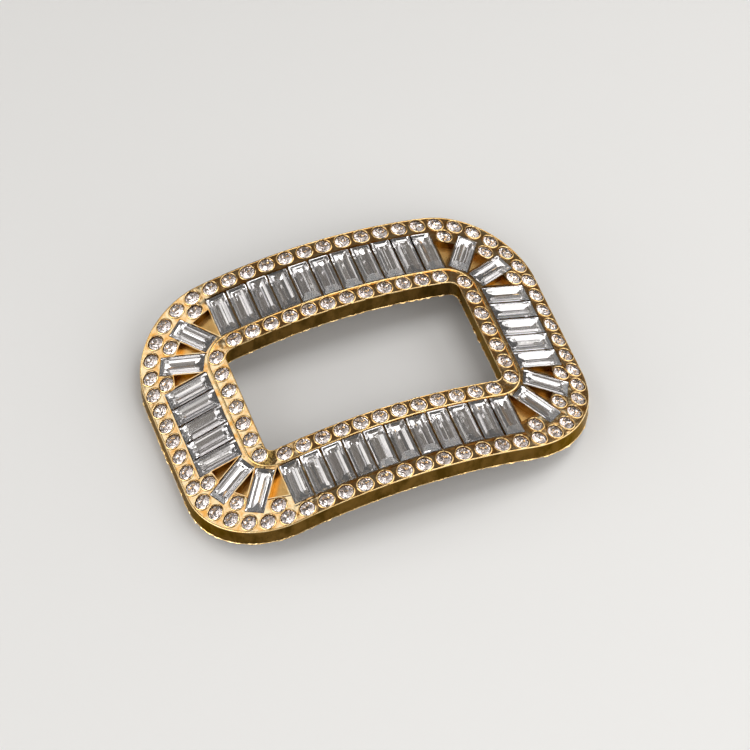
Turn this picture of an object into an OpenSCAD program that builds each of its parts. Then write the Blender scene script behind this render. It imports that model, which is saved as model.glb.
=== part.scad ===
// A rectangular rhinestone shoe buckle. One cast ring, arched along its length, carries a row of
// round stones round its rim, another round its strap opening, and a channel of long step-cut
// stones between the two, which fan out round the four corners.
//
// The origin is below the middle of the opening, on the surface that the buckle rests on, with
// X along the length and Z up. Places on the arched face are given as s, the distance along the
// arch from its middle, and y.

/* [Frame] */
// Length of the buckle, straight across from end to end
frame_l = 62; // [61:0.5:66]
// Width of the buckle
frame_w = 45; // [44.5:0.5:50]
// Radius of the corners of the outline, seen from above
frame_corner_r = 13.2; // [12:0.1:13.4]
// Radius of the arched top face, whose axis runs along Y
arch_r = 70; // [68:1:120]
// Height of the ring's upright walls
wall_h = 3; // [2.6:0.1:4]

/* [Strap opening] */
// Length of the strap opening
opening_l = 36.8; // [34:0.2:36.8]
// Width of the strap opening
opening_w = 19.3; // [17:0.1:19.3]
// Radius of the corners of the opening
opening_corner_r = 1.3; // [0.6:0.1:2]

/* [Round stones] */
// Diameter of a round stone
round_d = 2.16; // [1.8:0.02:2.2]
// Clearance between a round stone and the wall of its cup
cup_gap = 0.09; // [0.05:0.01:0.1]
// Distance from the rim to the middle of the outer row
outer_inset = 1.37; // [1.34:0.01:1.4]
// Radius of the outer row at the corners
outer_row_corner_r = 13.1; // [12:0.1:13.4]
// Round stones of the outer row on each side of the buckle's middle line, at the side pitch
outer_side_count = 8; // [6:1:8]
// Pitch of those stones
outer_side_pitch = 3.02; // [2.7:0.01:3.03]
// Round stones from there to the middle of an end, at an even pitch of their own
outer_end_count = 8; // [6:1:8]
// Round stones along each long side of the opening
inner_long_count = 12; // [8:2:12]
// Pitch of those stones
inner_long_pitch = 2.98; // [2.6:0.01:3]
// Round stones beside each end of the opening, with the one at each corner
inner_end_count = 7; // [3:2:7]
// Pitch of those stones
inner_end_pitch = 3.13; // [2.6:0.01:3.15]
// Distance from the opening's long sides to the middle of the inner row
inner_inset = 1.3; // [1.3:0.01:1.36]
// Distance along the arch from the opening's ends to the middle of the inner row
inner_end_inset = 1.49; // [1.45:0.01:1.6]
// How far the stone at each corner of the inner row is drawn in
inner_corner_draw = 0.25; // [0:0.05:0.3]

/* [Long stones] */
// Length of a long step-cut stone
baguette_l = 7; // [6:0.1:7]
// Width of a long stone
baguette_w = 3; // [2.4:0.1:3]
// Clearance between a long stone and the wall of its seat
seat_gap = 0.05; // [0.03:0.01:0.05]
// Long stones along the back, and along the front
long_count = 11; // [7:2:11]
// Pitch of those stones
long_pitch = 3.28; // [3.2:0.01:3.28]
// Distance from the rim to the middle of those stones
long_inset = 6.48; // [6.45:0.01:6.5]
// Long stones at each end
end_count = 5; // [3:2:5]
// Pitch of those stones
end_pitch = 3.2; // [3.2:0.01:3.22]
// Distance along the arch from the end of the buckle to the middle of those stones
end_inset = 6.54; // [6.5:0.01:6.6]

/* [Corner fans] */
// Distance along the arch from the end of the buckle to the pivot of a corner fan
pivot_from_end = 16.05; // [16:0.01:16.1]
// Distance from the side of the buckle to the pivot of a corner fan
pivot_from_side = 15.84; // [15.8:0.01:15.9]
// Distance from the pivot to the middle of a fanned long stone
fan_r = 9.95; // [9.95:0.01:10]
// Distance from the pivot to a round stone between two long ones
fan_round_r = 12.52; // [12.5:0.01:12.6]

/* [Relief] */
// Width of the raised rails between the rows
rail_w = 0.25; // [0.2:0.01:0.26]
// Height of the raised rails and pocket rims above the top face
rail_h = 0.14; // [0.05:0.01:0.2]
// Depth of the three-sided pockets between the fanned stones
pocket_depth = 1.1; // [0.5:0.1:1.3]
// Width of the raised rim round a pocket
pocket_rim_w = 0.13; // [0.1:0.01:0.14]

/* [Hidden] */
GOLD = [0.86, 0.67, 0.36];
GLASS = [0.86, 0.89, 0.93];
$fn = 64;
over = 0.5;

// Each row of fans holds the turn of a fanned long stone about the corner's pivot, in degrees
FAN_TURN = [26.4, 54.8];
// Each row holds the turn of a round stone set between the long ones, from the end to the side
POCKET_TURN = [12.7, 40.5, 71.2];
// Columns: side along X, side along Y
CORNERS = [[1, 1], [-1, 1], [-1, -1], [1, -1]];

// Cut of a round stone, each as a share of its diameter
ROUND_TABLE = 0.56;
ROUND_CROWN = 0.16;
ROUND_GIRDLE = 0.03;
ROUND_PAVILION = 0.43;
// Depth of a round stone's girdle below the top face
round_sink = 0.1;
// A cup is straight down to below the girdle, then narrows as the stone's pavilion does
cup_d = round_d + 2 * cup_gap;
cup_straight = round_sink + round_d * ROUND_GIRDLE + 0.1;
cup_taper = round_d * ROUND_PAVILION + 0.05;
cup_floor_d = 0.5;

// Cut of a long stone
table_l = baguette_l - 2.3;
table_w = baguette_w - 1.4;
baguette_crown = 0.5;
baguette_girdle = 0.25;
// Columns of the pavilion steps: depth below the girdle, length, width
PAVILION = [[0.7, baguette_l - 1.9, baguette_w - 1.1], [1.15, baguette_l - 3.4, 0.01]];
// Depth of a long stone's girdle below the top face
baguette_sink = 0.05;
seat_depth = baguette_sink + baguette_girdle + PAVILION[1][0] + 0.15;
// Depth of the shallow channel that the rows of long stones share
channel_depth = 0.35;

// Places on the arched face
function lean(s) = s / arch_r * 180 / PI;
function plan(s) = arch_r * sin(lean(s));
function along(x) = arch_r * asin(x / arch_r) * PI / 180;
arch_rise = arch_r - sqrt(arch_r * arch_r - frame_l * frame_l / 4);
top_z = wall_h + arch_rise;
end_s = along(frame_l / 2);
side_y = frame_w / 2;
pivot = [end_s - pivot_from_end, side_y - pivot_from_side];
long_y = side_y - long_inset;
end_row_s = end_s - end_inset;
inner_s = along(opening_l / 2) + inner_end_inset;
inner_y = opening_w / 2 + inner_inset;

function direction(turn) = [cos(turn), sin(turn)];
function offset_line(turn, side) = pivot + side * [-sin(turn), cos(turn)];

// A rail follows the far edge of the inner row, and round its corners
inner_rail_l = 2 * plan(inner_s + round_d / 2 + 0.4);
inner_rail_w = 2 * (inner_y + round_d / 2 + 0.39);
inner_rail_corner_r = 4.4;

// The outer row runs round a rounded rectangle. Its quarter starts in the middle of a side, is a
// straight, an arc and a straight, and ends in the middle of an end.
row_s = end_s - outer_inset;
row_y = side_y - outer_inset;
row_side_run = row_s - outer_row_corner_r;
row_corner_run = outer_row_corner_r * PI / 2;
row_end_run = row_y - outer_row_corner_r;
last_side_run = (outer_side_count - 0.5) * outer_side_pitch;
outer_end_pitch = (row_side_run + row_corner_run + row_end_run - last_side_run) / outer_end_count;
outer_quarter = outer_side_count + outer_end_count;
function outer_run(i) =
    i < outer_side_count ? (i + 0.5) * outer_side_pitch :
    last_side_run + (i + 1 - outer_side_count) * outer_end_pitch;
function outer_place(run) =
    run < row_side_run ? [run, row_y] :
    run < row_side_run + row_corner_run ?
        [row_side_run, row_end_run]
            + outer_row_corner_r * direction(90 - (run - row_side_run) / row_corner_run * 90) :
    [row_s, row_end_run - (run - row_side_run - row_corner_run)];

// Lists of the places of the round stones, as [s, y]
OUTER_PLACES = [
    for (i = [0 : outer_quarter - 1])
        let (p = outer_place(outer_run(i)))
            for (c = CORNERS) if (i < outer_quarter - 1 || c[1] > 0) [c[0] * p[0], c[1] * p[1]]
];
function inner_end_draw(j) = abs(j) == (inner_end_count - 1) / 2 ? inner_corner_draw : 0;
INNER_PLACES = concat(
    [for (i = [0 : inner_long_count - 1], sy = [-1, 1])
        [(i - (inner_long_count - 1) / 2) * inner_long_pitch, sy * inner_y]],
    [for (j = [-(inner_end_count - 1) / 2 : (inner_end_count - 1) / 2], sx = [-1, 1])
        [sx * (inner_s - inner_end_draw(j)), j * inner_end_pitch]]
);
CORNER_PLACES = [
    for (c = CORNERS, turn = POCKET_TURN)
        let (p = pivot + fan_round_r * direction(turn)) [c[0] * p[0], c[1] * p[1]]
];

// Sides of the long stones that bound a corner's pockets, each as a point and a direction.
// wall is how far the pocket's wall stands from the stone's side.
function pocket_wall(k, wall) =
    k == 0 ? [[0, (end_count / 2) * end_pitch - end_pitch / 2 + baguette_w / 2 + wall], [1, 0]] :
    k == 5 ? [[(long_count / 2) * long_pitch - long_pitch / 2 + baguette_w / 2 + wall, 0], [0, 1]] :
    let (fan = floor((k - 1) / 2), turn = FAN_TURN[fan], side = k % 2 == 1 ? -1 : 1)
        [offset_line(turn, side * (baguette_w / 2 + wall)), direction(turn)];
function cross_2d(a, b) = a[0] * b[1] - a[1] * b[0];
function meet(a, b) = a[0] + a[1] * cross_2d(b[0] - a[0], b[1]) / cross_2d(a[1], b[1]);

// The three corners of pocket n: the walls of its two long stones meet at its tip, and its outer
// wall stands square to the line from the tip to its round stone
function pocket_corners(n, wall) =
    let (
        near = pocket_wall(2 * n, wall),
        far = pocket_wall(2 * n + 1, wall),
        tip = meet(near, far),
        stone = pivot + fan_round_r * direction(POCKET_TURN[n]),
        out = (stone - tip) / norm(stone - tip),
        cap = [stone - out * (cup_d / 2 + wall), [-out[1], out[0]]]
    ) [tip, meet(near, cap), meet(far, cap)];
pocket_wall_gap = 0.2;

// Stands its children on the arched face, turned about the face's own upright
module on_arch(place, turn = 0) {
    translate([0, place[1], top_z - arch_r])
        rotate([0, lean(place[0]), 0])
            translate([0, 0, arch_r])
                rotate([0, 0, turn])
                    children();
}

// A roller along Y whose top touches the arched face moved up by lift
module roller(r, lift) {
    translate([0, side_y + over, top_z - arch_r + lift])
        rotate([90, 0, 0])
            cylinder(r = r, h = frame_w + 2 * over, $fn = 180);
}

// The layer from up above the arched face to down below it
module arch_layer(up, down) {
    difference() {
        roller(arch_r + up, 0);
        roller(arch_r - down, 0);
    }
}

module rounded_prism(l, w, r) {
    translate([0, 0, -over])
        linear_extrude(top_z + 2 * over) {
            square([l - 2 * r, w], center = true);
            square([l, w - 2 * r], center = true);
            for (c = CORNERS)
                translate([c[0] * (l / 2 - r), c[1] * (w / 2 - r)])
                    circle(r = r);
        }
}

module cast_ring() {
    intersection() {
        difference() {
            rounded_prism(frame_l, frame_w, frame_corner_r);
            rounded_prism(opening_l, opening_w, opening_corner_r);
        }
        difference() {
            roller(arch_r, 0);
            roller(arch_r, -wall_h);
        }
    }
}

// The rail round the inner row, and a straight one beside each row of long stones
module rails() {
    side_rail_l = 2 * plan(long_count * long_pitch / 2);
    end_rail_l = end_count * end_pitch;
    side_rail_y = long_y + baguette_l / 2 + 0.24;
    end_rail_x = plan(end_row_s + baguette_l / 2 + 0.26);
    intersection() {
        arch_layer(rail_h, over);
        union() {
            difference() {
                rounded_prism(inner_rail_l, inner_rail_w, inner_rail_corner_r);
                rounded_prism(
                    inner_rail_l - 2 * rail_w, inner_rail_w - 2 * rail_w, inner_rail_corner_r - rail_w);
            }
            for (side = [-1, 1]) {
                translate([0, side * side_rail_y, top_z / 2])
                    cube([side_rail_l, rail_w, top_z + over], center = true);
                translate([side * end_rail_x, 0, top_z / 2])
                    cube([rail_w, end_rail_l, top_z + over], center = true);
            }
        }
    }
}

// A prism over pocket n of the corner that faces +X and +Y, from up above the face to down below
module pocket_prism(n, wall, up, down) {
    corners = pocket_corners(n, wall);
    middle = (corners[0] + corners[1] + corners[2]) / 3;
    on_arch(middle)
        translate([0, 0, -down])
            linear_extrude(up + down)
                polygon([for (c = corners) c - middle]);
}

module in_all_corners() {
    for (c = CORNERS)
        scale([c[0], c[1], 1])
            children();
}

module pocket_rims() {
    in_all_corners()
        for (n = [0 : 2])
            pocket_prism(n, pocket_wall_gap - pocket_rim_w, rail_h, over);
}

module pockets() {
    in_all_corners()
        for (n = [0 : 2])
            pocket_prism(n, pocket_wall_gap, over, pocket_depth);
}

module cup() {
    translate([0, 0, -cup_straight])
        cylinder(d = cup_d, h = cup_straight + over, $fn = 24);
    translate([0, 0, -cup_straight - cup_taper])
        cylinder(d1 = cup_floor_d, d2 = cup_d, h = cup_taper, $fn = 24);
}

module cups(places) {
    for (p = places)
        on_arch(p)
            cup();
}

module seat() {
    translate([-baguette_l / 2 - seat_gap, -baguette_w / 2 - seat_gap, -seat_depth])
        cube([baguette_l + 2 * seat_gap, baguette_w + 2 * seat_gap, seat_depth + over]);
}

// The shallow channel under each row, which leaves only a low web between two long stones
module channels() {
    side_l = 2 * plan((long_count - 1) * long_pitch / 2 + baguette_w / 2);
    end_w = (end_count - 1) * end_pitch + baguette_w;
    end_mid_x = plan(end_row_s);
    end_l = plan(end_row_s + baguette_l / 2) - plan(end_row_s - baguette_l / 2);
    intersection() {
        arch_layer(over, channel_depth);
        for (side = [-1, 1]) {
            translate([0, side * long_y, top_z / 2])
                cube([side_l, baguette_l, top_z + 2 * over], center = true);
            translate([side * end_mid_x, 0, top_z / 2])
                cube([end_l, end_w, top_z + 2 * over], center = true);
        }
    }
}

// Stands its children in the place of each long stone: count i of its row, or of the eight corners
module at_long_row(i, side) {
    on_arch([(i - (long_count + 1) / 2) * long_pitch, side * long_y], 90)
        children();
}

module at_end_row(i, side) {
    on_arch([side * end_row_s, ((end_count + 1) / 2 - i) * end_pitch])
        children();
}

module at_corner(i) {
    corner = CORNERS[floor((i - 1) / 2)];
    turn = FAN_TURN[(i - 1) % 2];
    place = pivot + fan_r * direction(turn);
    on_arch([corner[0] * place[0], corner[1] * place[1]], corner[0] * corner[1] * turn)
        children();
}

module seats() {
    for (side = [-1, 1]) {
        for (i = [1 : long_count])
            at_long_row(i, side)
                seat();
        for (i = [1 : end_count])
            at_end_row(i, side)
                seat();
    }
    for (i = [1 : 8])
        at_corner(i)
            seat();
}

module frame() {
    color(GOLD)
        difference() {
            union() {
                cast_ring();
                rails();
                pocket_rims();
            }
            channels();
            seats();
            pockets();
            cups(OUTER_PLACES);
            cups(INNER_PLACES);
            cups(CORNER_PLACES);
        }
}

function ring(count, r, z, first = 0) =
    [for (i = [0 : count - 1]) [r * cos((i + first) * 360 / count), r * sin((i + first) * 360 / count), z]];

// A brilliant-cut round stone, its girdle's upper edge at z 0: an eight-sided table, 24 crown
// facets, a sixteen-sided girdle and a pointed pavilion
module round_stone() {
    points = concat(
        ring(8, round_d * ROUND_TABLE / 2, round_d * ROUND_CROWN),
        ring(16, round_d / 2, 0),
        ring(16, round_d / 2, -round_d * ROUND_GIRDLE),
        [[0, 0, -round_d * (ROUND_GIRDLE + ROUND_PAVILION)]]
    );
    faces = concat(
        [[for (i = [7 : -1 : 0]) i]],
        [for (i = [0 : 7]) [i, 8 + (2 * i + 1) % 16, 8 + 2 * i]],
        [for (i = [0 : 7]) [i, (i + 1) % 8, 8 + (2 * i + 1) % 16]],
        [for (i = [0 : 7]) [(i + 1) % 8, 8 + (2 * i + 2) % 16, 8 + 2 * i + 1]],
        [for (i = [0 : 15]) [8 + i, 8 + (i + 1) % 16, 24 + (i + 1) % 16, 24 + i]],
        [for (i = [0 : 15]) [24 + i, 24 + (i + 1) % 16, 40]]
    );
    polyhedron(points, faces);
}

module round_stones(places) {
    color(GLASS)
        for (p = places)
            on_arch(p)
                translate([0, 0, -round_sink])
                    round_stone();
}

module outer_round_stones() {
    round_stones(OUTER_PLACES);
}

module inner_round_stones() {
    round_stones(INNER_PLACES);
}

module corner_round_stones() {
    round_stones(CORNER_PLACES);
}

function oblong(l, w, z) = [[-l / 2, -w / 2, z], [l / 2, -w / 2, z], [l / 2, w / 2, z], [-l / 2, w / 2, z]];

// A step-cut long stone, its length along X and its girdle's upper edge at the seat's own depth:
// a table, four crown facets, an upright girdle, a step and a keel below
module baguette() {
    layers = [
        [baguette_crown, table_l, table_w],
        [0, baguette_l, baguette_w],
        [-baguette_girdle, baguette_l, baguette_w],
        for (step = PAVILION) [-baguette_girdle - step[0], step[1], step[2]]
    ];
    last = len(layers) - 1;
    points = [for (layer = layers) each oblong(layer[1], layer[2], layer[0])];
    faces = concat(
        [[3, 2, 1, 0]],
        [for (k = [0 : last - 1], i = [0 : 3])
            [4 * k + i, 4 * k + (i + 1) % 4, 4 * k + 4 + (i + 1) % 4, 4 * k + 4 + i]],
        [[4 * last, 4 * last + 1, 4 * last + 2, 4 * last + 3]]
    );
    color(GLASS)
        translate([0, 0, -baguette_sink])
            polyhedron(points, faces);
}

module baguette_back(i) {
    at_long_row(i, 1)
        baguette();
}

module baguette_front(i) {
    at_long_row(i, -1)
        baguette();
}

module baguette_left(i) {
    at_end_row(i, -1)
        baguette();
}

module baguette_right(i) {
    at_end_row(i, 1)
        baguette();
}

module baguette_corner(i) {
    at_corner(i)
        baguette();
}

frame();
outer_round_stones();
inner_round_stones();
corner_round_stones();
for (i = [1 : long_count]) {
    baguette_back(i);
    baguette_front(i);
}
for (i = [1 : end_count]) {
    baguette_left(i);
    baguette_right(i);
}
for (i = [1 : 8])
    baguette_corner(i);
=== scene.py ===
"""The looks of a rhinestone shoe buckle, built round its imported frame.

Sizes are in millimetres and are turned into metres where a mesh is made, but the floor and the lights
are in metres. A stone's own place comes from its node in the frame, so the cut stones here stand where
the plain ones of the frame do.
"""
import math
import random
import bmesh
import bpy
from mathutils import Matrix, Vector, noise


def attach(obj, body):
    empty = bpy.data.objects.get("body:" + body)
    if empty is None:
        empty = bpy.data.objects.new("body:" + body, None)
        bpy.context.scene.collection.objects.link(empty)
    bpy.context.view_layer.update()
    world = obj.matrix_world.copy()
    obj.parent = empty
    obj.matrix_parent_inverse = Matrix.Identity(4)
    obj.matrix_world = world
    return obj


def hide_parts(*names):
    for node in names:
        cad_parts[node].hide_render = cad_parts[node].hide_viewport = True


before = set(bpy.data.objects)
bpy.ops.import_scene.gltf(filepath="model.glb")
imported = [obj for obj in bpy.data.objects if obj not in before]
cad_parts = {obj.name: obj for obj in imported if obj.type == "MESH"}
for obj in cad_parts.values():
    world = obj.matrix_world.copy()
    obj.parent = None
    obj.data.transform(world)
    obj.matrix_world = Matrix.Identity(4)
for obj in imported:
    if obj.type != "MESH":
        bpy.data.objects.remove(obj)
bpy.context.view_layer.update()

MM = 0.001
WELD = 1e-7

# The ring, as the CAD model has it
FRAME_L = 62.0
FRAME_W = 45.0
FRAME_CORNER_R = 13.2
ARCH_R = 70.0
WALL_H = 3.0
OPENING_L = 36.8
OPENING_W = 19.3
OPENING_CORNER_R = 1.3
INNER_ROW_INSET = 1.3
INNER_ROW_END_INSET = 1.49
ROUND_D = 2.16
RAIL_W = 0.25
RAIL_H = 0.14
RAIL_CORNER_R = 4.4
BAGUETTE_L = 7.0
BAGUETTE_W = 3.0

arch_rise = ARCH_R - math.sqrt(ARCH_R ** 2 - (FRAME_L / 2) ** 2)
top_z = WALL_H + arch_rise
axis_z = top_z - ARCH_R


def top_at(x):
    """Height of the arched face above the ground, at x."""
    return axis_z + math.sqrt(ARCH_R ** 2 - x * x)


def bottom_at(x):
    """Height of the ring's lower edge above the ground, at x."""
    return max(top_at(x) - WALL_H, 0.0)


def plan(s):
    """The x of a place that lies s along the arch from its middle."""
    return ARCH_R * math.sin(s / ARCH_R)


def along(x):
    """The place along the arch, from its middle, of a point at x."""
    return ARCH_R * math.asin(x / ARCH_R)


class Shape:
    """Corners and faces gathered for one piece, in millimetres."""

    def __init__(self):
        self.corners = []
        self.faces = []
        self.slots = []

    def add(self, corners, faces, slots=None):
        first = len(self.corners)
        self.corners += [tuple(c) for c in corners]
        self.faces += [[first + i for i in face] for face in faces]
        self.slots += slots or [0] * len(faces)

    def piece(self, name, materials, smooth_angle=None):
        """A mesh object of these faces, welded and with its normals outward."""
        mesh = bpy.data.meshes.new(name)
        mesh.from_pydata([Vector(c) * MM for c in self.corners], [], self.faces)
        for face, slot in zip(mesh.polygons, self.slots):
            face.material_index = slot
            face.use_smooth = smooth_angle is not None
        bm = bmesh.new()
        bm.from_mesh(mesh)
        bmesh.ops.recalc_face_normals(bm, faces=bm.faces)
        if smooth_angle is not None:
            for edge in bm.edges:
                edge.smooth = edge.calc_face_angle(0) < math.radians(smooth_angle)
        bm.to_mesh(mesh)
        bm.free()
        for material in materials:
            mesh.materials.append(material)
        made = bpy.data.objects.new(name, mesh)
        bpy.context.scene.collection.objects.link(made)
        return made


# Materials

# Where most of a noise's values lie
MOST_NOISE = (0.3, 0.7)


def new_material(name):
    """A material, its node tree and its shader."""
    material = bpy.data.materials.new(name)
    material.use_nodes = True
    tree = material.node_tree
    return material, tree, tree.nodes["Principled BSDF"]


def add_node(tree, kind, settings=None, **values):
    """A node with its settings and inputs. An input goes by its name, or by its number as in i0, and is
    given a value or another node's socket."""
    made = tree.nodes.new(kind)
    for name, value in (settings or {}).items():
        setattr(made, name, value)
    for name, value in values.items():
        number = name[1:]
        slot = made.inputs[int(number) if number.isdigit() else name.replace("_", " ")]
        if isinstance(value, bpy.types.NodeSocket):
            tree.links.new(value, slot)
        else:
            slot.default_value = value
    return made


def object_mm(tree, stretch=(1, 1, 1)):
    """Object coordinates in millimetres, times the stretch along each axis."""
    coordinates = add_node(tree, "ShaderNodeTexCoord").outputs["Object"]
    scale = tuple(1000 * k for k in stretch)
    return add_node(tree, "ShaderNodeMapping", Vector=coordinates, Scale=scale).outputs[0]


def noise_value(tree, place, scale, detail=3.0, roughness=0.55):
    """Noise from 0 to 1, with scale features to the millimetre."""
    made = add_node(tree, "ShaderNodeTexNoise", Vector=place, Scale=scale, Detail=detail,
                    Roughness=roughness)
    return made.outputs[0]


def ramp(tree, value, low, high, to_low=0.0, to_high=1.0):
    """The value carried from low..high to to_low..to_high, and held there."""
    made = add_node(tree, "ShaderNodeMapRange", i0=value, i1=low, i2=high, i3=to_low, i4=to_high)
    made.clamp = True
    return made.outputs[0]


def maths(tree, operation, a, b=0.0, c=0.0):
    """The result of an operation on up to three values."""
    return add_node(tree, "ShaderNodeMath", {"operation": operation}, i0=a, i1=b, i2=c).outputs[0]


def mix_value(tree, share, a, b):
    """The value a where share is 0, and b where it is 1."""
    return add_node(tree, "ShaderNodeMix", {"data_type": "FLOAT"}, i0=share, i2=a, i3=b).outputs[0]


def mix_colour(tree, share, a, b):
    """The colour a where share is 0, and b where it is 1."""
    return add_node(tree, "ShaderNodeMix", {"data_type": "RGBA"}, i0=share, i6=a, i7=b).outputs[2]


def distance(tree, a, b):
    """Distance between two places."""
    return add_node(tree, "ShaderNodeVectorMath", {"operation": "DISTANCE"}, i0=a, i1=b).outputs["Value"]


def distance_from_axis(tree):
    """Distance in millimetres from the axis of the arch."""
    return distance(tree, object_mm(tree, (1, 0, 1)), (0, 0, axis_z))


def add_bump(tree, shader, height, depth):
    """Bump on a shader, depth millimetres deep where the height is 1."""
    bump = add_node(tree, "ShaderNodeBump", Height=height, Strength=1.0, Distance=depth * MM)
    tree.links.new(bump.outputs[0], shader.inputs["Normal"])


# Gold

POLISHED = (1.0, 0.82, 0.51, 1)
POLISHED_DEEP = (0.88, 0.45, 0.11, 1)
SUNK = (1.0, 0.62, 0.22, 1)
GRAINY = (0.50, 0.33, 0.10, 1)
# Painted shade: the casting colours of the walls and back are far darker than gold, standing in for shade
# and dark reflections on the sides
CAST_SHADED = (0.17, 0.096, 0.028, 1)
CAST_SHADED_DARK = (0.065, 0.036, 0.010, 1)
EDGE_TINT = (0.90, 0.70, 0.42, 1)
TRIM = (1.0, 0.77, 0.41, 1)
TRIM_DEEP = (0.86, 0.55, 0.20, 1)
# Painted shade: the dark brown painted on the low foot of each lip, where the gap round the stone lies in
# shade
LIP_FOOT_PAINTED_SHADE = (0.22, 0.09, 0.02, 1)

# The upright part of a normal, from the walls, coloured dark as painted shade, to the polished face
UNSHADED_POLISH_NORMAL = (0.1, 0.5)
# Depth below the arched face, from polished to sunk
SUNK_DEPTH = (0.35, 0.60)
# Rise above the arched face, from a lip's foot, painted dark brown as shade in the gap round its stone,
# to its bright top
LIP_SHADE_RISE = (0.02, 0.11)
# Noise from the lighter to the deeper plating, and from the darker to the lighter casting
DEEP_CLOUD = (0.38, 0.66)
CAST_STAIN = (0.35, 0.65)
# Stretch of the stain on the walls, which is longer up and down
STAIN_STRETCH = (0.6, 0.6, 0.3)
# The rough place at one inner corner, in plan, and how far it reaches
GRAINY_CORNER = (-19.2, -9.9, 0)
GRAINY_REACH = 2.3
GRAINY_CORE = 0.6 * GRAINY_REACH

# Lowest and highest roughness
FACE_ROUGHNESS = (0.06, 0.15)
POCKET_ROUGHNESS = (0.24, 0.42)
SIDE_ROUGHNESS = (0.20, 0.34)
TRIM_ROUGHNESS = (0.12, 0.26)

# Depth of the bump in millimetres, and what each noise is multiplied by in the gold's
GOLD_BUMP = 0.018
TRIM_BUMP = 0.012
FACE_SWELL = 3.2
FACE_GRAIN = 0.06
SIDE_STAIN = 0.8
SIDE_GRAIN = 0.25
CORNER_GRAIN = 6.0


def gold_material():
    """Polished plating on the arched face, satin plating on the floors of the pockets, and duller,
    stained casting on the walls and the back, coloured far darker there as painted shade."""
    material, tree, shader = new_material("gold_plate")
    place = object_mm(tree)
    normal = add_node(tree, "ShaderNodeNewGeometry").outputs["True Normal"]
    normal_z = add_node(tree, "ShaderNodeSeparateXYZ", Vector=normal).outputs["Z"]
    unshaded_polish = ramp(tree, normal_z, *UNSHADED_POLISH_NORMAL)
    sunk = ramp(tree, maths(tree, "SUBTRACT", ARCH_R, distance_from_axis(tree)), *SUNK_DEPTH)
    cloud = noise_value(tree, place, scale=0.7)
    swell = noise_value(tree, place, scale=0.6, detail=1.0)
    grain = noise_value(tree, place, scale=7.0, detail=4.0)
    stain = noise_value(tree, object_mm(tree, STAIN_STRETCH), scale=1.0, detail=4.0)

    bright = mix_colour(tree, ramp(tree, cloud, *DEEP_CLOUD), POLISHED, POLISHED_DEEP)
    bright = mix_colour(tree, sunk, bright, SUNK)
    corner = distance(tree, object_mm(tree, (1, 1, 0)), GRAINY_CORNER)
    grainy = ramp(tree, corner, GRAINY_CORE, GRAINY_REACH, 1.0, 0.0)
    bright = mix_colour(tree, grainy, bright, GRAINY)
    # Walls and back: stained casting, its dark colour painted shade
    dull = mix_colour(tree, ramp(tree, stain, *CAST_STAIN), CAST_SHADED_DARK, CAST_SHADED)
    tree.links.new(mix_colour(tree, unshaded_polish, dull, bright), shader.inputs["Base Color"])
    shader.inputs["Metallic"].default_value = 1.0
    shader.inputs["Specular Tint"].default_value = EDGE_TINT

    face_roughness = ramp(tree, grain, *MOST_NOISE, *FACE_ROUGHNESS)
    pocket_roughness = ramp(tree, grain, *MOST_NOISE, *POCKET_ROUGHNESS)
    top_roughness = mix_value(tree, sunk, face_roughness, pocket_roughness)
    side_roughness = ramp(tree, stain, *MOST_NOISE, *SIDE_ROUGHNESS)
    roughness = mix_value(tree, unshaded_polish, side_roughness, top_roughness)
    tree.links.new(roughness, shader.inputs["Roughness"])

    face_swell = maths(tree, "MULTIPLY", swell, FACE_SWELL)
    top_height = maths(tree, "MULTIPLY_ADD", grain, FACE_GRAIN, face_swell)
    side_stain = maths(tree, "MULTIPLY", stain, SIDE_STAIN)
    side_height = maths(tree, "MULTIPLY_ADD", grain, SIDE_GRAIN, side_stain)
    height = mix_value(tree, unshaded_polish, side_height, top_height)
    coarse = noise_value(tree, place, scale=2.0, detail=2.0)
    coarse = maths(tree, "MULTIPLY", coarse, CORNER_GRAIN)
    height = maths(tree, "ADD", height, maths(tree, "MULTIPLY", coarse, grainy))
    add_bump(tree, shader, height, GOLD_BUMP)
    return material


def trim_material(name, shaded_foot):
    """Bright plating on the trim: lips, beads, rail caps, flash and nubs. With the second argument true,
    what lies low is painted brown: painted shade in the gap round a stone."""
    material, tree, shader = new_material(name)
    place = object_mm(tree)
    cloud = noise_value(tree, place, scale=0.9)
    grain = noise_value(tree, place, scale=5.0)
    colour = mix_colour(tree, ramp(tree, cloud, *MOST_NOISE), TRIM, TRIM_DEEP)
    if shaded_foot:
        # The lip's low foot is painted brown, as painted shade in the gap round its stone
        rise = maths(tree, "SUBTRACT", distance_from_axis(tree), ARCH_R)
        colour = mix_colour(tree, ramp(tree, rise, *LIP_SHADE_RISE, 1.0, 0.0), colour, LIP_FOOT_PAINTED_SHADE)
    tree.links.new(colour, shader.inputs["Base Color"])
    shader.inputs["Metallic"].default_value = 1.0
    tree.links.new(ramp(tree, grain, *MOST_NOISE, *TRIM_ROUGHNESS), shader.inputs["Roughness"])
    add_bump(tree, shader, grain, TRIM_BUMP)
    return material


# Glass and foil

GLASS_SLOT = 0
FOIL_SLOT = 1
ROUND_GLASS = (1.0, 0.98, 0.98, 1)
LONG_GLASS = (1.0, 0.99, 0.98, 1)
GLASS_IOR = 1.55
# Noise at which haze starts and is full, and the roughness without and with it
HAZE = (0.5, 0.8)
GLASS_ROUGHNESS = (0.0, 0.06)

ROUND_FOIL_DARK = (0.84, 0.79, 0.77, 1)
ROUND_FOIL_LIGHT = (0.98, 0.94, 0.92, 1)
LONG_FOIL_DARK = (0.72, 0.71, 0.73, 1)
LONG_FOIL_LIGHT = (1.0, 0.99, 0.98, 1)
# Noise from the darker to the lighter foil
FOIL_TONE = (0.38, 0.62)
FOIL_BUMP = 0.003
STONE_MAP = "stone_millimetres"
# Changes of tone in a long stone's foil to the millimetre, along the stone and across it
STREAKS = (0.12, 3.0, 1.0)


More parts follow.
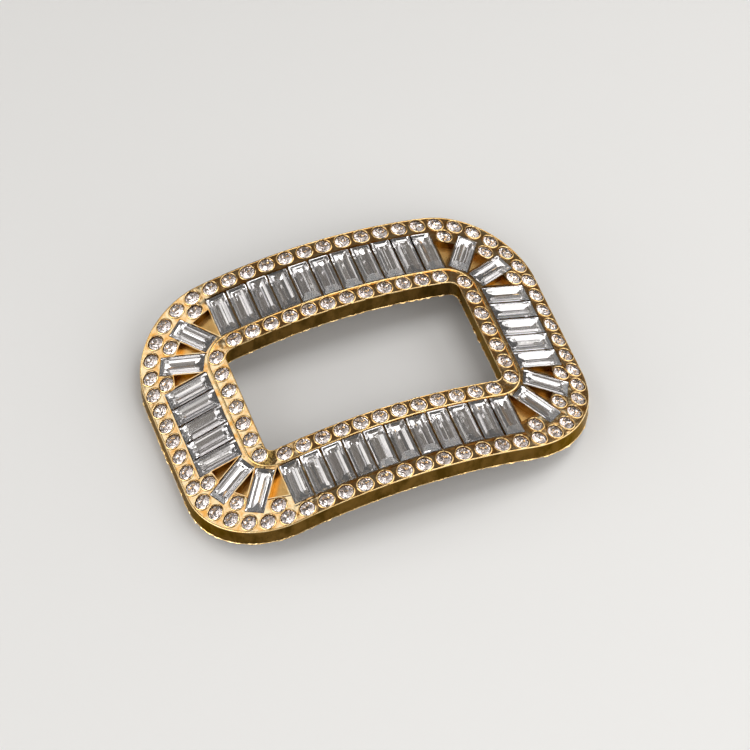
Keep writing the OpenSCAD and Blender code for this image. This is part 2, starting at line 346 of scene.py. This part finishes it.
def glass_material(name, colour, clear, wave_height):
    """Moulded glass, its faces a little wavy. clear is how much of it is seen through; the rest is a
    faint milky veil. wave_height is in millimetres."""
    material, tree, shader = new_material(name)
    place = object_mm(tree)
    shader.inputs["Base Color"].default_value = colour
    shader.inputs["Transmission Weight"].default_value = clear
    shader.inputs["IOR"].default_value = GLASS_IOR
    haze = noise_value(tree, place, scale=2.5, detail=4.0)
    tree.links.new(ramp(tree, haze, *HAZE, *GLASS_ROUGHNESS), shader.inputs["Roughness"])
    wave = noise_value(tree, place, scale=0.8, detail=2.0)
    add_bump(tree, shader, wave, wave_height)
    return material


def foil_material(name, dark, light, dull, grains, streaky=False):
    """The silver backing behind a stone, lighter and darker in places, in fine streaks along the stone if
    streaky. dull is its lowest and highest roughness, and grains are to the millimetre."""
    material, tree, shader = new_material(name)
    place = object_mm(tree)
    if streaky:
        laid = add_node(tree, "ShaderNodeUVMap", {"uv_map": STONE_MAP}).outputs[0]
        laid = add_node(tree, "ShaderNodeMapping", Vector=laid, Scale=STREAKS).outputs[0]
        tone = noise_value(tree, laid, scale=1.0, detail=2.0)
    else:
        tone = noise_value(tree, place, scale=0.35, detail=1.0)
    colour = mix_colour(tree, ramp(tree, tone, *FOIL_TONE), dark, light)
    tree.links.new(colour, shader.inputs["Base Color"])
    shader.inputs["Metallic"].default_value = 1.0
    grain = noise_value(tree, place, scale=grains, detail=3.0)
    tree.links.new(ramp(tree, grain, *MOST_NOISE, *dull), shader.inputs["Roughness"])
    add_bump(tree, shader, grain, FOIL_BUMP)
    return material


gold = gold_material()
trim = trim_material("gold_trim", False)
lip_gold = trim_material("gold_lips", True)
round_glass = glass_material("round_glass", ROUND_GLASS, clear=0.96, wave_height=0.008)
long_glass = glass_material("long_glass", LONG_GLASS, clear=0.92, wave_height=0.002)
round_foil = foil_material("round_foil", ROUND_FOIL_DARK, ROUND_FOIL_LIGHT, (0.01, 0.05), grains=3.0)
long_foil = foil_material("long_foil", LONG_FOIL_DARK, LONG_FOIL_LIGHT, (0.02, 0.06), grains=1.5,
                          streaky=True)


# Places of the stones

def loose_solids(node):
    """The corners of each loose solid of a CAD node, in metres."""
    bm = bmesh.new()
    bm.from_mesh(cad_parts[node].data)
    bmesh.ops.remove_doubles(bm, verts=bm.verts, dist=WELD)
    seen = set()
    solids = []
    for first in bm.verts:
        if first in seen:
            continue
        seen.add(first)
        todo = [first]
        solid = []
        while todo:
            corner = todo.pop()
            solid.append(corner.co.copy())
            for edge in corner.link_edges:
                other = edge.other_vert(corner)
                if other not in seen:
                    seen.add(other)
                    todo.append(other)
        solids.append(solid)
    bm.free()
    return solids


def stand(solid):
    """A matrix that stands a stone in its seat: from its own millimetres, x along it and z along the
    arch's upright with 0 on the arched face, to the frame's millimetres."""
    centre = sum(solid, Vector()) / len(solid) / MM
    up = Vector((centre.x, 0, centre.z - axis_z)).normalized()
    across = Vector((0, 1, 0))
    flat = across.cross(up)
    places = [((p / MM - centre).dot(flat), (p / MM - centre).dot(across)) for p in solid]
    spread = sum(x * x - y * y for x, y in places)
    slant = sum(2 * x * y for x, y in places)
    turn = 0.5 * math.atan2(slant, spread)
    length = flat * math.cos(turn) + across * math.sin(turn)
    width = up.cross(length)
    made = Matrix((length, width, up)).transposed().to_4x4()
    made.translation = Vector((0, centre.y, axis_z)) + up * ARCH_R
    return made


def loosened(place, dice, shift, tilt):
    """A stone's place with the small shift in millimetres and tilt in degrees of one set by hand."""
    sideways = [dice.uniform(-shift, shift) for _ in range(2)]
    moved = Matrix.Translation(sideways + [dice.uniform(-shift, shift) / 2])
    leaned = Matrix.Rotation(math.radians(dice.uniform(-tilt, tilt)), 4, "X")
    rolled = Matrix.Rotation(math.radians(dice.uniform(-tilt, tilt)), 4, "Y")
    return place @ moved @ leaned @ rolled


# Round stones, a brilliant cut

ROUND_SINK = 0.04
ROUND_SHIFT = 0.025
ROUND_TILT = 2.5
# Sizes as shares of the diameter
ROUND_TABLE = 0.56
ROUND_STAR = 0.76
ROUND_CROWN = 0.16
ROUND_STAR_RISE = 0.095
ROUND_GIRDLE = 0.03
ROUND_PAVILION = 0.43
ROUND_LOWER = 0.30
# Below 1, the lower facets bulge out of a plain cone
ROUND_BULGE = 0.92


def ring(count, r, z, first=0.0):
    """Points round a circle. first is how many steps the first of them is turned."""
    step = 2 * math.pi / count
    turns = [(k + first) * step for k in range(count)]
    return [(r * math.cos(turn), r * math.sin(turn), z) for turn in turns]


def brilliant(d):
    """Corners, faces and slots of a brilliant: a table, 8 stars, 8 kites and 16 halves above the girdle,
    and 8 kites with 16 halves below it."""
    lower_z = -d * (ROUND_GIRDLE + ROUND_PAVILION * (1 - ROUND_LOWER * ROUND_BULGE))
    corners = (
        ring(8, d * ROUND_TABLE / 2, d * ROUND_CROWN)
        + ring(8, d * ROUND_STAR / 2, d * ROUND_STAR_RISE, 0.5)
        + ring(16, d / 2, 0)
        + ring(16, d / 2, -d * ROUND_GIRDLE)
        + ring(8, d * ROUND_LOWER / 2, lower_z, 0.5)
        + [(0, 0, -d * (ROUND_GIRDLE + ROUND_PAVILION))]
    )
    star, high, low, lower, culet = 8, 16, 32, 48, 56
    faces = [list(range(8))]
    slots = [GLASS_SLOT]
    for k in range(8):
        after = (k + 1) % 8
        before = (k - 1) % 8
        mid = high + 2 * k + 1
        faces += [
            [k, star + k, after],
            [k, star + before, high + 2 * k, star + k],
            [star + k, high + 2 * k, mid],
            [star + k, mid, high + (2 * k + 2) % 16],
        ]
        slots += [GLASS_SLOT] * 4
    for k in range(16):
        after = (k + 1) % 16
        faces.append([high + k, low + k, low + after, high + after])
        slots.append(FOIL_SLOT)
    for k in range(8):
        before = (k - 1) % 8
        mid = low + 2 * k + 1
        faces += [
            [lower + k, mid, low + 2 * k],
            [lower + k, low + (2 * k + 2) % 16, mid],
            [lower + before, lower + k, low + 2 * k],
            [culet, lower + k, lower + before],
        ]
        slots += [FOIL_SLOT] * 4
    return corners, faces, slots


def round_stones(node, seed):
    """Cut stones in place of a field of round ones. Gives the place of each."""
    dice = random.Random(seed)
    shape = Shape()
    corners, faces, slots = brilliant(ROUND_D)
    places = []
    for solid in loose_solids(node):
        place = stand(solid)
        places.append(place)
        turned = Matrix.Rotation(dice.uniform(0, math.pi / 4), 4, "Z")
        sunk = Matrix.Translation((0, 0, -ROUND_SINK))
        stone = loosened(place, dice, ROUND_SHIFT, ROUND_TILT) @ sunk @ turned
        shape.add([stone @ Vector(c) for c in corners], faces, slots)
    made = shape.piece(node.replace("_round_stones", "_cut_stones"), [round_glass, round_foil])
    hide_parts(node)
    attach(made, "root")
    return places


# Long stones, a step cut

LONG_SINK = 0.05
LONG_SHIFT = 0.02
LONG_TILT = 1.2
LONG_TABLE = (BAGUETTE_L - 2.3, BAGUETTE_W - 1.4)
# Columns: height above the girdle's upper edge, length, width
LONG_LAYERS = [
    (0.50, LONG_TABLE[0], LONG_TABLE[1]),
    (0.33, BAGUETTE_L - 1.35, BAGUETTE_W - 0.80),
    (0.10, BAGUETTE_L - 0.16, BAGUETTE_W - 0.16),
    (0.00, BAGUETTE_L, BAGUETTE_W),
    (-0.10, BAGUETTE_L, BAGUETTE_W),
    (-0.15, BAGUETTE_L - 0.45, BAGUETTE_W - 0.70),
    (-0.31, BAGUETTE_L - 1.25, BAGUETTE_W - 1.30),
    (-0.37, BAGUETTE_L - 1.80, BAGUETTE_W - 2.10),
    (-0.58, BAGUETTE_L - 3.40, 0.01),
]
# The layer at the girdle's lower edge
GIRDLE_LAYER = 4
STEP_SHIFT = 0.07
LONG_EDGE = 0.03
# How far apart the starts of the stones' maps may lie, in millimetres
MAP_SPREAD = 50


def rectangle(x, y, z, length, width):
    """Corners of a level rectangle with its middle at x, y and z."""
    signs = ((-1, -1), (1, -1), (1, 1), (-1, 1))
    return [(x + i * length / 2, y + j * width / 2, z) for i, j in signs]


def step_cut(dice):
    """Corners, faces and slots of a step cut: a table, three steps down to the girdle, and four below it
    down to a keel. Below the girdle no two stones are quite alike."""
    corners = []
    for k, (z, length, width) in enumerate(LONG_LAYERS):
        loose = STEP_SHIFT if k > GIRDLE_LAYER else 0.0
        x = dice.uniform(-loose, loose)
        y = dice.uniform(-loose, loose)
        corners += rectangle(x, y, z, length, width)
    last = 4 * (len(LONG_LAYERS) - 1)
    faces = [[0, 1, 2, 3]]
    slots = [GLASS_SLOT]
    for k in range(len(LONG_LAYERS) - 1):
        for i in range(4):
            after = (i + 1) % 4
            faces.append([4 * k + i, 4 * k + 4 + i, 4 * k + 4 + after, 4 * k + after])
            slots.append(FOIL_SLOT if k >= GIRDLE_LAYER - 1 else GLASS_SLOT)
    faces.append([last + 3, last + 2, last + 1, last])
    slots.append(FOIL_SLOT)
    return corners, faces, slots


def soften_crown(stone):
    """Bevels the edges between the glass facets, and leaves those of the foiled ones sharp."""
    bm = bmesh.new()
    bm.from_mesh(stone.data)
    crown = [edge.index for edge in bm.edges
             if all(face.material_index == GLASS_SLOT for face in edge.link_faces)]
    bm.free()
    weights = stone.data.attributes.new("bevel_weight_edge", "FLOAT", "EDGE")
    for index in crown:
        weights.data[index].value = 1.0
    bevel = stone.modifiers.new("edges", "BEVEL")
    bevel.width = LONG_EDGE * MM
    bevel.segments = 1
    bevel.limit_method = "WEIGHT"


def lay_map(stone, place, start):
    """Lays a map on a stone, in millimetres along and across it. start shifts it, so that the stones
    differ."""
    back = place.inverted()
    laid = stone.data.uv_layers.new(name=STONE_MAP)
    for loop in stone.data.loops:
        at = back @ (stone.data.vertices[loop.vertex_index].co / MM)
        laid.data[loop.index].uv = (at.x + start, at.y + start)


def long_stone(node, dice):
    """A cut stone in place of a long one. Gives its place."""
    seat = stand(loose_solids(node)[0])
    place = loosened(seat, dice, LONG_SHIFT, LONG_TILT)
    sunk = Matrix.Translation((0, 0, -LONG_SINK))
    corners, faces, slots = step_cut(dice)
    shape = Shape()
    shape.add([place @ sunk @ Vector(c) for c in corners], faces, slots)
    made = shape.piece(node.replace("baguette", "cut_baguette"), [long_glass, long_foil])
    lay_map(made, place, dice.uniform(0, MAP_SPREAD))
    soften_crown(made)
    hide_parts(node)
    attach(made, "root")
    return seat


# Gold trim

def gold_piece(shape, name, material=trim, smooth_angle=50):
    """A piece of trim. Edges that turn by less than smooth_angle degrees are smooth."""
    made = shape.piece(name, [material], smooth_angle)
    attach(made, "root")
    return made


def tube_faces(count, rows):
    """Faces of a closed tube of count rings, each of rows points."""
    faces = []
    for k in range(count):
        after = (k + 1) % count
        for i in range(rows):
            j = (i + 1) % rows
            faces.append([rows * k + i, rows * after + i, rows * after + j, rows * k + j])
    return faces


# Columns: distance outward from LIP_R, height above the arched face
LIP_PROFILE = [
    (0.00, -0.16),
    (0.02, -0.02),
    (0.06, 0.09),
    (0.12, 0.15),
    (0.19, 0.13),
    (0.26, 0.03),
    (0.29, -0.08),
]
LIP_R = 1.10
LIP_SIDES = 36
# Greatest and least width of a lip, the step between widths, and the clearance from other stones
LIP_REACH = 0.29
LIP_LEAST = 0.07
LIP_STEP = 0.02
LIP_CLEAR = 0.03
LIP_SHIFT = 0.03
LIP_TILT = 1.5
# Least and greatest size of a lip, as shares of the usual one
LIP_GROWTH = (0.985, 1.01)
# Stones whose middles lie farther off than this are never met
NEAR_ROUND = 3.5
NEAR_LONG = 6.5


def room_for_lip(spot, direction, near_round, near_long):
    """How far a lip reaches outward before it would meet another stone."""
    reach = LIP_REACH
    while reach > LIP_LEAST:
        tip = spot @ (direction * (LIP_R + reach))
        met = any((tip - other.translation).length < ROUND_D / 2 + LIP_CLEAR
                  for other in near_round)
        for other in near_long:
            seen = other.inverted() @ tip
            in_length = abs(seen.x) < BAGUETTE_L / 2 + LIP_CLEAR
            in_width = abs(seen.y) < BAGUETTE_W / 2 + LIP_CLEAR
            met = met or (in_length and in_width)
        if not met:
            break
        reach -= LIP_STEP
    return reach


def nearby(places, place, reach):
    """Those of the places that lie within reach of one place."""
    return [p for p in places if (p.translation - place.translation).length < reach]


def cup_lips(places, long_places, seed):
    """The raised lip round each round stone's cup."""
    dice = random.Random(seed)
    shape = Shape()
    faces = tube_faces(LIP_SIDES, len(LIP_PROFILE))
    for place in places:
        spot = loosened(place, dice, LIP_SHIFT, LIP_TILT)
        others = [p for p in places if p is not place]
        near_round = nearby(others, place, NEAR_ROUND)
        near_long = nearby(long_places, place, NEAR_LONG)
        grow = dice.uniform(*LIP_GROWTH)
        corners = []
        for k in range(LIP_SIDES):
            turn = 2 * math.pi * k / LIP_SIDES
            direction = Vector((math.cos(turn), math.sin(turn), 0))
            share = room_for_lip(spot, direction, near_round, near_long) / LIP_REACH
            for out, rise in LIP_PROFILE:
                outward = grow * (LIP_R + share * out) * direction
                corners.append(spot @ (outward + Vector((0, 0, grow * rise))))
        shape.add(corners, faces)
    gold_piece(shape, "cup_lips", lip_gold)


def outline(length, width, r, step):
    """Points round a rounded rectangle, each with its outward direction, about step apart."""
    path = []
    arc = max(4, round(r * math.pi / 2 / step))
    for k, (sx, sy) in enumerate([(1, 1), (-1, 1), (-1, -1), (1, -1)]):
        middle = Vector((sx * (length / 2 - r), sy * (width / 2 - r)))
        for i in range(arc + 1):
            turn = (k + i / arc) * math.pi / 2
            out = Vector((math.cos(turn), math.sin(turn)))
            path.append((middle + out * r, out))
        straight = (width if k % 2 else length) - 2 * r
        start, out = path[-1]
        ahead = Vector((-out.y, out.x))
        count = max(1, round(straight / step))
        for i in range(1, count):
            path.append((start + ahead * (straight * i / count), out))
    return path


def sweep(shape, path, profile, height):
    """A closed band round a path. profile gives the band's points at step k of the path, each as the
    distance outward and the rise above height."""
    corners = []
    for k, (point, out) in enumerate(path):
        for reach, rise in profile(k):
            at = point + out * reach
            corners.append((at.x, at.y, height(at.x) + rise))
    shape.add(corners, tube_faces(len(path), len(profile(0))))


def half_round(low, high, rise, foot, count=6):
    """Points of a low rounded bead from low to high across the path. Its foot lies below the face."""
    middle = (low + high) / 2
    half = (high - low) / 2
    turns = [math.pi * k / count for k in range(count + 1)]
    top = [(middle - half * math.cos(turn), rise * math.sin(turn)) for turn in turns]
    return top + [(high, -foot), (low, -foot)]


RIM_W = 0.19
INNER_RIM_W = 0.85 * RIM_W
# Rise and foot of each bead, and how far a rim bead stands proud of the wall
BEAD_RISE = 0.07
BEAD_FOOT = 0.10
PROUD = 0.012
OUTER_STEP = 0.5
INNER_STEP = 0.3


def rim_beads():
    """The thin raised edge along the outside of the ring, and along its opening."""
    shape = Shape()
    outer = outline(FRAME_L, FRAME_W, FRAME_CORNER_R, OUTER_STEP)
    outer_bead = half_round(-RIM_W, PROUD, BEAD_RISE, BEAD_FOOT)
    sweep(shape, outer, lambda k: outer_bead, top_at)
    inner = outline(OPENING_L, OPENING_W, OPENING_CORNER_R, INNER_STEP)
    inner_bead = half_round(-PROUD, INNER_RIM_W, BEAD_RISE, BEAD_FOOT)
    sweep(shape, inner, lambda k: inner_bead, top_at)
    gold_piece(shape, "rim_beads")


# From the inner row's stones to the far edge of the rail, at the ends and at the sides
RAIL_END_GAP = 0.4
RAIL_SIDE_GAP = 0.39
# How far a cap overhangs the rail's sides, and laps down over its top
CAP_OVERHANG = 0.01
CAP_LAP = 0.02


def rail_caps():
    """Rounded tops on the rail round the inner row."""
    shape = Shape()
    inner_s = along(OPENING_L / 2) + INNER_ROW_END_INSET
    inner_y = OPENING_W / 2 + INNER_ROW_INSET
    rail_l = 2 * plan(inner_s + ROUND_D / 2 + RAIL_END_GAP)
    rail_w = 2 * (inner_y + ROUND_D / 2 + RAIL_SIDE_GAP)
    path = outline(rail_l, rail_w, RAIL_CORNER_R, INNER_STEP)
    low_bead = half_round(-RAIL_W - CAP_OVERHANG, CAP_OVERHANG, BEAD_RISE, BEAD_FOOT)
    bead = [(reach, rise + RAIL_H - CAP_LAP) for reach, rise in low_bead]
    sweep(shape, path, lambda k: bead, top_at)
    gold_piece(shape, "rail_caps")


FLASH_STEP = 0.14
# Columns: length, width and corner radius of the edge, the side that the fin points to, noise seed
FLASH_EDGES = [
    (FRAME_L, FRAME_W, FRAME_CORNER_R, 1, 3.0),
    (OPENING_L, OPENING_W, OPENING_CORNER_R, -1, 9.0),
]
# Least reach of the fin and what raggedness adds to it, and the same for its thickness
FLASH_REACH = 0.02
FLASH_RAGGED = 0.16
FLASH_THICK = 0.05
FLASH_UNEVEN = 0.10
FLASH_ROOT = 0.05
# Noise features to the millimetre: the fin's gaps, its teeth and its uneven thickness
GAP_SCALE = 1.1
TEETH_SCALE = 4.0
UNEVEN_SCALE = 2.3


def flash_profile(point, side, seed):
    """The section of the fin at a point of its edge."""
    at = Vector((point.x, point.y, seed))
    gaps = max(0.0, 0.5 + 1.3 * noise.noise(at * GAP_SCALE))
    teeth = 0.6 + 0.9 * abs(noise.noise(at * TEETH_SCALE))
    reach = side * (FLASH_REACH + FLASH_RAGGED * (gaps * teeth))
    thick = FLASH_THICK + FLASH_UNEVEN * max(0.0, 0.5 + noise.noise(at * UNEVEN_SCALE))
    back = -FLASH_ROOT * side
    return [
        (back, 0.0),
        (reach, 0.01),
        (reach * 0.8, 0.5 * thick),
        (0.4 * reach, thick),
        (back, 1.3 * thick),
    ]


def casting_flash():
    """The ragged fin that the mould left along the ring's lower edges."""
    shape = Shape()
    for length, width, r, side, seed in FLASH_EDGES:
        path = outline(length, width, r, FLASH_STEP)
        sweep(shape, path, lambda k: flash_profile(path[k][0], side, seed), bottom_at)
    gold_piece(shape, "casting_flash", smooth_angle=35)


# Columns: place along the arch, y, radius of a small lump of metal, as measured on the photograph
NUBS = [
    (-22.05, -5.23, 0.15),
    (-22.01, -8.43, 0.17),
    (-25.07, -16.66, 0.11),
    (-24.62, -16.93, 0.10),
]
NUB_LUMPINESS = 0.35
NUB_SCALE = 6
# How far apart the nubs' noises are
NUB_APART = 7


def nubs(seed):
    """Lumps of cast metal that hold the ends of some long stones."""
    shape = Shape()
    for number, (s, y, r) in enumerate(NUBS):
        ball = bmesh.new()
        bmesh.ops.create_icosphere(ball, subdivisions=2, radius=r)
        x = plan(s)
        middle = Vector((x, y, top_at(x)))
        corners = []
        for vert in ball.verts:
            at = vert.co * NUB_SCALE + Vector((seed, number * NUB_APART, 0))
            lump = 1 + NUB_LUMPINESS * noise.noise(at)
            corners.append(middle + vert.co * lump)
        shape.add(corners, [[v.index for v in face.verts] for face in ball.faces])
        ball.free()
    gold_piece(shape, "nubs")


# The object

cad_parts["frame"].data.materials.clear()
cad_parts["frame"].data.materials.append(gold)

ROUND_SEED = 11
LONG_SEED = 5
LIP_SEED = 21
NUB_SEED = 3.0

round_places = []
for number, row in enumerate(("outer", "inner", "corner")):
    round_places += round_stones(row + "_round_stones", ROUND_SEED + number)
long_dice = random.Random(LONG_SEED)
long_places = []
for name in sorted(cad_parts):
    if name.startswith("baguette_"):
        long_places.append(long_stone(name, long_dice))
cup_lips(round_places, long_places, LIP_SEED)
rim_beads()
rail_caps()
casting_flash()
nubs(NUB_SEED)


# The studio

FLOOR_HALF = 2.0
FLOOR_COLOUR = (0.80, 0.80, 0.79, 1)
FLOOR_ROUGHNESS = 0.8


def make_floor():
    """A plain pale floor."""
    mesh = bpy.data.meshes.new("floor")
    corners = [(-FLOOR_HALF, -FLOOR_HALF, 0), (FLOOR_HALF, -FLOOR_HALF, 0),
               (FLOOR_HALF, FLOOR_HALF, 0), (-FLOOR_HALF, FLOOR_HALF, 0)]
    mesh.from_pydata(corners, [], [(0, 1, 2, 3)])
    floor = bpy.data.objects.new("floor", mesh)
    bpy.context.scene.collection.objects.link(floor)
    material, _, shader = new_material("floor")
    shader.inputs["Base Color"].default_value = FLOOR_COLOUR
    shader.inputs["Roughness"].default_value = FLOOR_ROUGHNESS
    mesh.materials.append(material)


# Fitted to the photograph, in degrees and millimetres; the azimuth is from -Y
CAMERA_AZIMUTH = -19.937
CAMERA_ELEVATION = 54.151
CAMERA_ROLL = -0.785
CAMERA_AIM = Vector((1.7069, -0.2492, 5.0))
CAMERA_DISTANCE = 606.4
CAMERA_LENS = 197.49
CAMERA_SENSOR = 36
# In metres
CAMERA_CLIP = 0.01


def make_camera():
    """The camera at the photograph's angle, far off with a long lens."""
    turn, lift, roll = (math.radians(a) for a in (CAMERA_AZIMUTH, CAMERA_ELEVATION, CAMERA_ROLL))
    back = Vector((math.sin(turn) * math.cos(lift), -math.cos(turn) * math.cos(lift), math.sin(lift)))
    right = Vector((0, 0, 1)).cross(back).normalized()
    up = back.cross(right)
    rolled_right = math.cos(roll) * right + math.sin(roll) * up
    rolled_up = -math.sin(roll) * right + math.cos(roll) * up
    data = bpy.data.cameras.new("camera")
    data.lens = CAMERA_LENS
    data.sensor_width = CAMERA_SENSOR
    data.clip_start = CAMERA_CLIP
    camera = bpy.data.objects.new("camera", data)
    bpy.context.scene.collection.objects.link(camera)
    place = Matrix((rolled_right, rolled_up, back)).transposed().to_4x4()
    place.translation = (CAMERA_AIM + back * CAMERA_DISTANCE) * MM
    camera.matrix_world = place
    bpy.context.scene.camera = camera


SOFTBOX_DISTANCE = 0.5
WATTS_PER_SQUARE_METRE = 30.0
# Columns: name, azimuth from +X and elevation in degrees, width and height in metres, brightness
SOFTBOXES = [
    ("low_front_right", 315, 12, 0.38, 0.20, 0.20),
    ("low_right", 0, 12, 0.38, 0.20, 0.20),
    ("low_back_left", 140, 10, 0.38, 0.16, 0.10),
    ("low_left", 180, 12, 0.38, 0.20, 0.40),
    ("right", 10, 40, 0.34, 0.28, 0.15),
    ("back_left", 132, 46, 0.20, 0.20, 0.10),
    ("left", 185, 38, 0.36, 0.26, 0.15),
    ("front_left", 225, 34, 0.20, 0.24, 0.10),
    ("front", 272, 38, 0.20, 0.28, 0.25),
    ("front_right", 320, 38, 0.36, 0.28, 0.20),
    ("top_right", 0, 74, 0.28, 0.22, 0.35),
    ("top_left", 180, 72, 0.28, 0.22, 0.05),
]
WORLD_COLOUR = (0.10, 0.083, 0.066, 1)


def direction_at(azimuth, elevation):
    """The direction at an azimuth from +X and an elevation, both in degrees."""
    turn = math.radians(azimuth)
    lift = math.radians(elevation)
    level = math.cos(lift)
    return Vector((level * math.cos(turn), level * math.sin(turn), math.sin(lift)))


def make_lights():
    """Large soft panels round the buckle, and a dim warm world behind them."""
    world = bpy.data.worlds.new("world")
    bpy.context.scene.world = world
    world.use_nodes = True
    world.node_tree.nodes["Background"].inputs[0].default_value = WORLD_COLOUR
    for name, azimuth, elevation, width, height, brightness in SOFTBOXES:
        light = bpy.data.lights.new(name, "AREA")
        light.shape = "RECTANGLE"
        light.size = width
        light.size_y = height
        light.energy = brightness * WATTS_PER_SQUARE_METRE * width * height
        made = bpy.data.objects.new(name, light)
        bpy.context.scene.collection.objects.link(made)
        towards = direction_at(azimuth, elevation)
        made.location = towards * SOFTBOX_DISTANCE
        made.rotation_euler = (-towards).to_track_quat("-Z", "Y").to_euler()


make_floor()
make_camera()
make_lights()
bpy.context.scene.view_settings.view_transform = "Standard"

bpy.context.view_layer.update()
